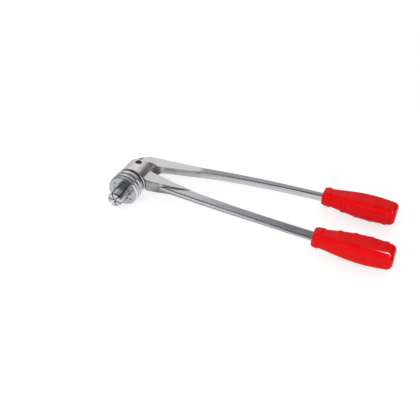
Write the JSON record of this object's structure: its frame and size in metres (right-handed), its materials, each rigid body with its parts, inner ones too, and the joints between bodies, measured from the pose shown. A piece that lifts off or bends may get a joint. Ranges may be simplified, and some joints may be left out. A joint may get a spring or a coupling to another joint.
{
  "type": "hand tube expander",
  "caption": "Hand tube expander: squeezing its long red-gripped levers drives a cone that spreads jaws in a screw-on ring, widening a tube's end.",
  "frame": {"origin": "on the head's axis, at the foot of the jaws' working wall", "axes": "-Y out of the head, the way a tube leaves the jaws; +X along the levers, towards the grips; +Z along the pivot pin"},
  "size_m": [0.3993, 0.131, 0.0452],
  "materials": {
    "forged_aluminium": "shot-blasted forging",
    "plated_steel": "turned and zinc plated",
    "hardened_steel": "ground",
    "dark_steel": "black oxide",
    "spring_steel": "drawn wire",
    "bronze": "machined",
    "black_rubber": "smooth",
    "red_grip": "glossy dipped"
  },
  "bodies": {
    "frame": {"head_housing": "forged_aluminium", "guide_bush": "bronze", "return_spring": "spring_steel", "pivot_pin": "dark_steel", "fixed_lever": "forged_aluminium", "root_dowels": "dark_steel", "fixed_grip": "red_grip"},
    "lever": {"moving_lever": "forged_aluminium", "pivot_bush": "bronze", "moving_grip": "red_grip"},
    "mandrel": {"mandrel": "hardened_steel", "roller_pin": "dark_steel"},
    "roller": {"cam_roller": "hardened_steel"},
    "jaw_stop": {"retaining_washer": "plated_steel", "snap_ring": "spring_steel"},
    "head": {"expander_ring": "plated_steel", "jaw_guide_pins": "dark_steel", "garter_ring": "black_rubber"},
    "jaw_1": {"jaw_1": "plated_steel"},
    "jaw_2": {"jaw_2": "plated_steel"},
    "jaw_3": {"jaw_3": "plated_steel"},
    "jaw_4": {"jaw_4": "plated_steel"},
    "jaw_5": {"jaw_5": "plated_steel"},
    "jaw_6": {"jaw_6": "plated_steel"}
  },
  "joints": [
    {"name": "lever_pivot", "type": "hinge", "parent": "frame", "child": "lever", "pos_m": [0.0027, 0.0489, 0], "axis": [0, 0, 1], "range_deg": [0, 80]},
    {"name": "mandrel_slide", "type": "slide", "parent": "frame", "child": "mandrel", "axis": [0, 1, 0], "range_m": [0, 0.0075], "deforming": ["return_spring"]},
    {"name": "roller_spin", "type": "hinge", "parent": "mandrel", "child": "roller", "pos_m": [0, 0.0289, 0], "axis": [0, 0, 1], "range_deg": [-210, 0]},
    {"name": "head_travel", "type": "slide", "parent": "frame", "child": "jaw_stop", "axis": [0, -1, 0], "range_m": [0, 0.0075]},
    {"name": "head_unscrew", "type": "hinge", "parent": "jaw_stop", "child": "head", "pos_m": [0, 0, 0], "axis": [0, -1, 0], "range_deg": [0, 1800]},
    {"name": "jaw_1_spread", "type": "slide", "parent": "head", "child": "jaw_1", "axis": [0.9659, 0, 0.2588], "range_m": [-0.0012, 0]},
    {"name": "jaw_2_spread", "type": "slide", "parent": "head", "child": "jaw_2", "axis": [0.2588, 0, 0.9659], "range_m": [-0.0012, 0]},
    {"name": "jaw_3_spread", "type": "slide", "parent": "head", "child": "jaw_3", "axis": [-0.7071, 0, 0.7071], "range_m": [-0.0012, 0]},
    {"name": "jaw_4_spread", "type": "slide", "parent": "head", "child": "jaw_4", "axis": [-0.9659, 0, -0.2588], "range_m": [-0.0012, 0]},
    {"name": "jaw_5_spread", "type": "slide", "parent": "head", "child": "jaw_5", "axis": [-0.2588, 0, -0.9659], "range_m": [-0.0012, 0]},
    {"name": "jaw_6_spread", "type": "slide", "parent": "head", "child": "jaw_6", "axis": [0.7071, 0, -0.7071], "range_m": [-0.0012, 0]}
  ],
  "couplings": [
    {"joint": "mandrel_slide", "follows": "lever_pivot", "m_per_rad": 0.0053715},
    {"joint": "roller_spin", "follows": "lever_pivot", "ratio": -2.625},
    {"joint": "head_travel", "follows": "head_unscrew", "m_per_rad": 0.00023873},
    {"joint": "jaw_1_spread", "follows": "lever_pivot", "m_per_rad": -0.00085944},
    {"joint": "jaw_2_spread", "follows": "lever_pivot", "m_per_rad": -0.00085944},
    {"joint": "jaw_3_spread", "follows": "lever_pivot", "m_per_rad": -0.00085944},
    {"joint": "jaw_4_spread", "follows": "lever_pivot", "m_per_rad": -0.00085944},
    {"joint": "jaw_5_spread", "follows": "lever_pivot", "m_per_rad": -0.00085944},
    {"joint": "jaw_6_spread", "follows": "lever_pivot", "m_per_rad": -0.00085944}
  ]
}
